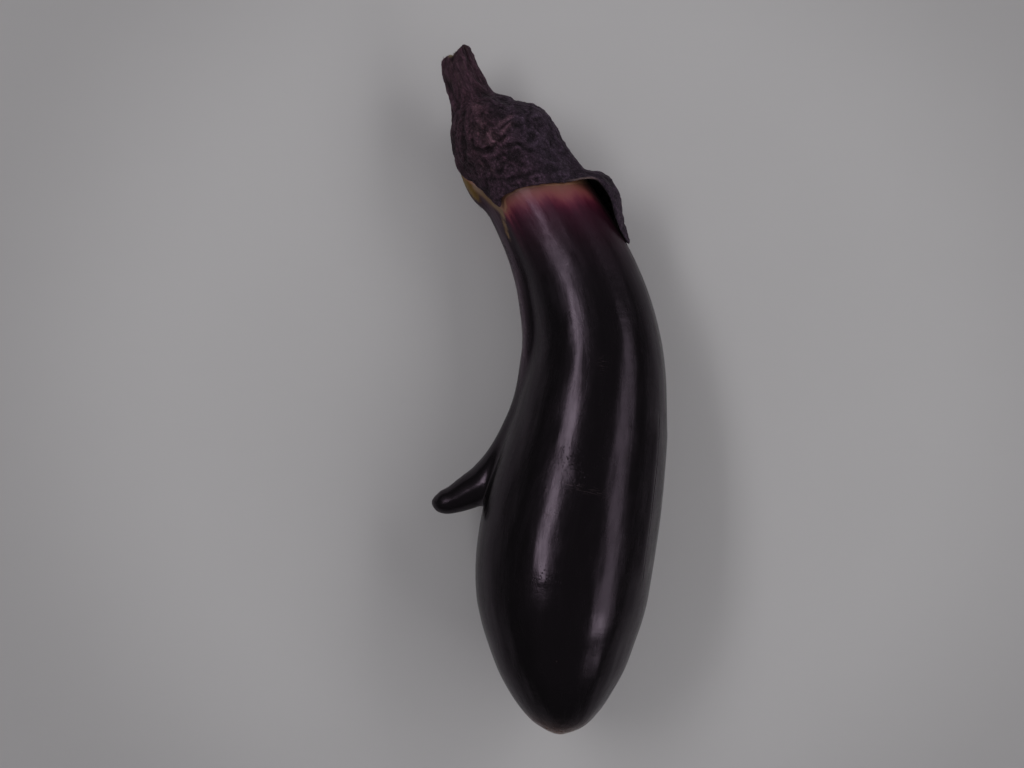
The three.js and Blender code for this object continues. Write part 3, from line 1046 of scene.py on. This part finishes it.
def hairs_tree():
    """Geometry Nodes that grow small hairs, in tufts of a few arms, where an attribute lets them."""
    tree = bpy.data.node_groups.new("hairs", "GeometryNodeTree")
    faces = tree.interface
    faces.new_socket(name="Geometry", in_out="OUTPUT", socket_type="NodeSocketGeometry")
    faces.new_socket(name="Geometry", in_out="INPUT", socket_type="NodeSocketGeometry")
    kinds = {"Where": "String", "Density": "Float", "Length": "Float", "Thickness": "Float"}
    kinds |= {"Arms": "Int", "Lift": "Float", "Seed": "Int", "Material": "Material"}
    for name, kind in kinds.items():
        faces.new_socket(name=name, in_out="INPUT", socket_type="NodeSocket" + kind)
    given = add_node(tree, "NodeGroupInput").outputs

    hair = {"Vertices": 3, "Radius Top": 0.0, "Radius Bottom": given["Thickness"], "Depth": given["Length"]}
    hair = add_node(tree, "GeometryNodeMeshCone", hair).outputs["Mesh"]
    middle = {"Vertices": given["Arms"], "Radius": given["Thickness"]}
    middle = add_node(tree, "GeometryNodeMeshCircle", middle).outputs["Mesh"]
    out = add_node(tree, "GeometryNodeInputPosition").outputs[0]
    out = add_node(tree, "ShaderNodeVectorMath", {0: out}, operation="NORMALIZE").outputs[0]
    lift = add_node(tree, "ShaderNodeCombineXYZ", {"Z": given["Lift"]}).outputs[0]
    out = add_node(tree, "ShaderNodeVectorMath", {0: out, 1: lift}, operation="ADD").outputs[0]
    leaning = add_node(tree, "FunctionNodeAlignRotationToVector", {"Vector": out}, axis="Z").outputs[0]
    tuft = {"Points": middle, "Instance": hair, "Rotation": leaning}
    tuft = add_node(tree, "GeometryNodeInstanceOnPoints", tuft).outputs[0]
    tuft = add_node(tree, "GeometryNodeRealizeInstances", {0: tuft}).outputs[0]
    tuft = {"Geometry": tuft, "Name": "hair", "Value": 1.0}
    tuft = add_node(tree, "GeometryNodeStoreNamedAttribute", tuft).outputs[0]

    where = add_node(tree, "GeometryNodeInputNamedAttribute", {"Name": given["Where"]}).outputs[0]
    density = product(tree, given["Density"], where)
    spread = {"Mesh": given["Geometry"], "Density": density, "Seed": given["Seed"]}
    spread = add_node(tree, "GeometryNodeDistributePointsOnFaces", spread).outputs
    spin = add_node(tree, "FunctionNodeRandomValue", {2: 0.0, 3: 6.28, 8: given["Seed"]}).outputs[1]
    spin = add_node(tree, "ShaderNodeCombineXYZ", {"Z": spin}).outputs[0]
    spin = add_node(tree, "FunctionNodeEulerToRotation", {0: spin}).outputs[0]
    standing = {"Rotation": spread["Rotation"], "Rotate By": spin}
    standing = add_node(tree, "FunctionNodeRotateRotation", standing, rotation_space="LOCAL").outputs[0]
    size = add_node(tree, "FunctionNodeRandomValue", {2: 0.55, 3: 1.3, 8: given["Seed"]}).outputs[1]
    grown = {"Points": spread["Points"], "Instance": tuft, "Rotation": standing, "Scale": size}
    grown = add_node(tree, "GeometryNodeInstanceOnPoints", grown).outputs[0]

    joined = add_node(tree, "GeometryNodeJoinGeometry")
    tree.links.new(given["Geometry"], joined.inputs[0])
    tree.links.new(grown, joined.inputs[0])
    real = add_node(tree, "GeometryNodeRealizeInstances", {0: joined.outputs[0]}).outputs[0]
    finish = {"Geometry": real, "Material": given["Material"]}
    finish = add_node(tree, "GeometryNodeSetMaterial", finish).outputs[0]
    tree.links.new(finish, add_node(tree, "NodeGroupOutput").inputs[0])
    return tree


hairs = hairs_tree()


def grow(obj, **inputs):
    """Grows hairs on obj, and makes it a plain mesh."""
    modifier = obj.modifiers.new("Hairs", "NODES")
    modifier.node_group = hairs
    for socket in hairs.interface.items_tree:
        if socket.in_out == "INPUT" and socket.name in inputs:
            modifier[socket.identifier] = inputs[socket.name]
    return plain_mesh(obj)


STAR = {"Where": "hairy", "Density": 1.7 / MM**2, "Length": 0.26 * MM, "Thickness": 0.03 * MM}
STAR |= {"Arms": 4, "Lift": 0.45, "Seed": 3}
calyx = grow(calyx, Material=sepal, **STAR)
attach(calyx, "root")
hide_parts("calyx")


# ---- The stalk -------------------------------------------------
# The woody stub that the fruit hung by, grown in one skin with the calyx and ribbed lengthwise. A knife
# went through it aslant, and the pale pith with its ring of green shows in the end.

# The edge of the cut, [angle, y], which is notched on top.
CUT_EDGE = [
    [-180, 91.2],
    [-120, 91.8],
    [-60, 92.9],
    [-20, 93.6],
    [15, 93.9],
    [42, 94.2],
    [62, 93.6],
    [84, 92.6],
    [104, 91.8],
    [113, 91.6],
    [124, 91.9],
    [150, 91.5],
    [180, 91.2],
]
CUT_MIDDLE = 92.4  # the y of the cut's middle
CUT_HOLLOW = 0.6  # and how far it is sunk
CUT_ROUNDING = 0.35  # how far the bark draws in at the edge
NOTCH = {"angle": 113, "y": 92.0, "width": 0.8, "length": 0.55}
STALK_ROUND, STALK_ALONG, CUT_ROWS = ((224, 90, 22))

around = np.linspace(-180, 180, STALK_ROUND, endpoint=False)
torn = 0.10 * wander(straightened(around * 0, around, 4.4), 1.0, 11)
cut_edge = curve(CUT_EDGE)(around) + torn

t = np.linspace(0, 1, STALK_ALONG)[:, None]
place = CROWN + (cut_edge[None] - CROWN) * t
angle = np.broadcast_to(around[None], place.shape)
rise, tone_and_painted_shade = leathery(place, angle)
bark = girth_at(place) + leaning(place, angle) + ribbing(place, angle) + rise
bark = bark - CUT_ROUNDING * ramped(t, 0.93, 1.0) ** 2
side = on_section(place, angle, bark)
share = np.linspace(1, 0, CUT_ROWS + 1)[1:-1, None]
end_place = CUT_MIDDLE + (cut_edge[None] - CUT_MIDDLE) * share**1.5 - CUT_HOLLOW * bump(share, 0.62)
end_angle = np.broadcast_to(around[None], end_place.shape)
across = straightened(end_place * 0, end_angle, 4.2 * share)
end_place = end_place + 0.16 * wander(across.reshape(-1, 3), 0.6, 15).reshape(end_place.shape)
end = on_section(end_place, end_angle, bark[-1:] * share)
tip = on_section(np.array(CUT_MIDDLE - CUT_HOLLOW), 0, 0)
stalk = loft("stalk", np.concatenate([side, end]), crown_middle, tip)
stalk.data.shade_smooth()

side_count = STALK_ALONG * STALK_ROUND
middle_share = np.concatenate([[1], np.ones(side_count), np.repeat(share.ravel(), STALK_ROUND), [0]])
place = np.concatenate([[CROWN], place.ravel(), end_place.ravel(), [CUT_MIDDLE]])
angle = np.concatenate([[0], np.tile(around, STALK_ALONG + CUT_ROWS - 1), [0]])
tone_and_painted_shade = np.concatenate([[0], tone_and_painted_shade.ravel(), np.zeros(end_place.size), [0]])
note_leather(stalk, place, angle, tone_and_painted_shade, girth_at(place) * middle_share)
note(stalk, "from_middle", middle_share)
aside = np.radians(turned(angle, NOTCH["angle"])) * girth_at(place)
bared = bump(aside, NOTCH["width"]) * bump(place - NOTCH["y"], NOTCH["length"])
note(stalk, "bared", bared)
note(stalk, "hairy", np.where(middle_share == 1, 1.0, 0.0) * (1 - bared))
note(stalk, "frayed", (middle_share > 0.5) & (middle_share < 0.97))

wood, tree, shader = material_of("woody stalk")
colour = leather(tree, shader, 0.5)
fibrous = noted(tree, "fibrous", "Vector")
strands = speckle(tree, fibrous, (2.0, 2.0, 0.7), 4, 0.65)
place_up = add_node(tree, "ShaderNodeSeparateXYZ", {0: noted(tree, "straight", "Vector")}).outputs[2]
above_crown = eased(tree, place_up, 82, 88)
pale = product(tree, eased(tree, strands, 0.50, 0.70), product(tree, above_crown, 0.5))
colour = mixed(tree, pale, colour, (0.125, 0.085, 0.085))
middle = noted(tree, "from_middle")
grit = speckle(tree, noted(tree, "straight", "Vector"), 3.0, 3, 0.7)
pith_stops = [
    (0.0, (0.30, 0.25, 0.15)),
    (0.45, (0.42, 0.38, 0.22)),
    (0.66, (0.34, 0.36, 0.15)),
    (0.86, (0.24, 0.21, 0.10)),
    (0.96, (0.08, 0.055, 0.045)),
]
pith = colours(tree, maths(tree, "ADD", middle, eased(tree, grit, 0.3, 0.7, -0.06, 0.06)), pith_stops)
cut_share = eased(tree, middle, 0.93, 0.995, 1.0, 0.0)
colour = mixed(tree, cut_share, colour, pith)
colour = mixed(tree, product(tree, noted(tree, "bared"), 0.85), colour, (0.34, 0.31, 0.17))
tree.links.new(haired(tree, colour, (0.125, 0.092, 0.110)), shader.inputs["Base Color"])

FIBRE = {"Where": "frayed", "Density": 2.2 / MM**2, "Length": 0.5 * MM, "Thickness": 0.05 * MM}
FIBRE |= {"Arms": 3, "Lift": 2.5, "Seed": 5}
stalk = grow(stalk, Material=wood, **STAR)
stalk = grow(stalk, Material=wood, **FIBRE)
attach(stalk, "root")
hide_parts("stalk")


# ---- The table, the light and the camera -----------------------
# A pale matt board, with painted shade a little darker away from its middle, seen from straight above.
# Two long, soft lamps show in the skin as streaks: a narrow one on the left, and a broader, weaker one
# on the right. Two more, nearer the stalk's end, light the board and the dull parts, and show in no gloss.

board, tree, shader = material_of("pale board")
where = add_node(tree, "ShaderNodeTexCoord").outputs["Object"]
cloud = speckle(tree, where, 9.0, 4, 0.6)
tone_and_painted_shade = colours(tree, cloud, [(0.3, (0.750, 0.737, 0.745)), (0.7, (0.780, 0.767, 0.775))])
# Painted shade: the board's colour darkens away from its middle, as the light falls off.
away = add_node(tree, "ShaderNodeVectorMath", {0: where}, operation="LENGTH").outputs["Value"]
tone_and_painted_shade = dimmed(tree, tone_and_painted_shade, eased(tree, away, 0.104, 0.180, 1.0, 0.76))
tree.links.new(tone_and_painted_shade, shader.inputs["Base Color"])
shader.inputs["Roughness"].default_value = 0.8
brushed = speckle(tree, where, (60, 220, 60), 3)
tree.links.new(raised(tree, [(brushed, 0.15, 0.4)]), shader.inputs["Normal"])
BOARD = 3000  # half its side
corners = [(-BOARD, -BOARD, 0), (BOARD, -BOARD, 0), (BOARD, BOARD, 0), (-BOARD, BOARD, 0)]
floor = mesh_object("board", corners, [(0, 1, 2, 3)])
floor.data.materials.append(board)


def lamp(name, tilt, distance, size, shift, power, colour, lights=True, shows=True):
    """A long soft lamp over the table, tilted to the right (or left, negative) of straight up.

    One that only shows in gloss, and doesn't light dull surfaces, has lights=False. One that only
    lights them has shows=False.
    """
    light = bpy.data.lights.new(name, "AREA")
    light.shape = "RECTANGLE"
    light.size, light.size_y = size
    light.energy = power
    light.color = colour
    obj = bpy.data.objects.new(name, light)
    angle = math.radians(tilt)
    obj.location = (distance * math.sin(angle), shift, distance * math.cos(angle))
    obj.rotation_euler = (0, angle, 0)
    obj.visible_diffuse = lights
    obj.visible_glossy = shows
    bpy.context.scene.collection.objects.link(obj)


COOL = (1.0, 0.98, 1.0)
PALE = (1.0, 0.985, 1.0)
lamp("left_lamp", -37, 1.2, (0.27, 1.35), 0.45, 3.65, COOL, lights=False)
lamp("left_fill", -37, 1.2, (0.27, 1.20), 0.5, 2.95, COOL, shows=False)
lamp("right_fill", 50, 1.4, (0.50, 1.00), 0.9, 2.45, COOL, shows=False)
lamp("right_lamp", 52, 1.4, (0.50, 2.03), -0.225, 3.25, PALE)
lamp("right_lamp_end", 52, 1.39, (0.40, 0.38), -1.0, 0.75, PALE)
world = bpy.data.worlds.new("studio")
world.use_nodes = True
tree = world.node_tree
room = tree.nodes["Background"]
room.inputs["Color"].default_value = (0.99, 0.98, 1.0, 1)
towards = add_node(tree, "ShaderNodeTexCoord").outputs["Generated"]
height = add_node(tree, "ShaderNodeSeparateXYZ", {0: towards}).outputs[2]
tree.links.new(eased(tree, height, 0.0, 0.65, 0.07, 0.145), room.inputs["Strength"])
bpy.context.scene.world = world

eye = bpy.data.cameras.new("eye")
eye.sensor_width = 36
eye.lens = 59.9
eye.clip_start, eye.clip_end = 0.01, 20
camera = bpy.data.objects.new("eye", eye)
camera.location = (-0.01025, 0.0011, 0.490)
bpy.context.scene.collection.objects.link(camera)
bpy.context.scene.camera = camera
bpy.context.scene.view_settings.view_transform = "Filmic"
bpy.context.scene.view_settings.look = "Medium High Contrast"
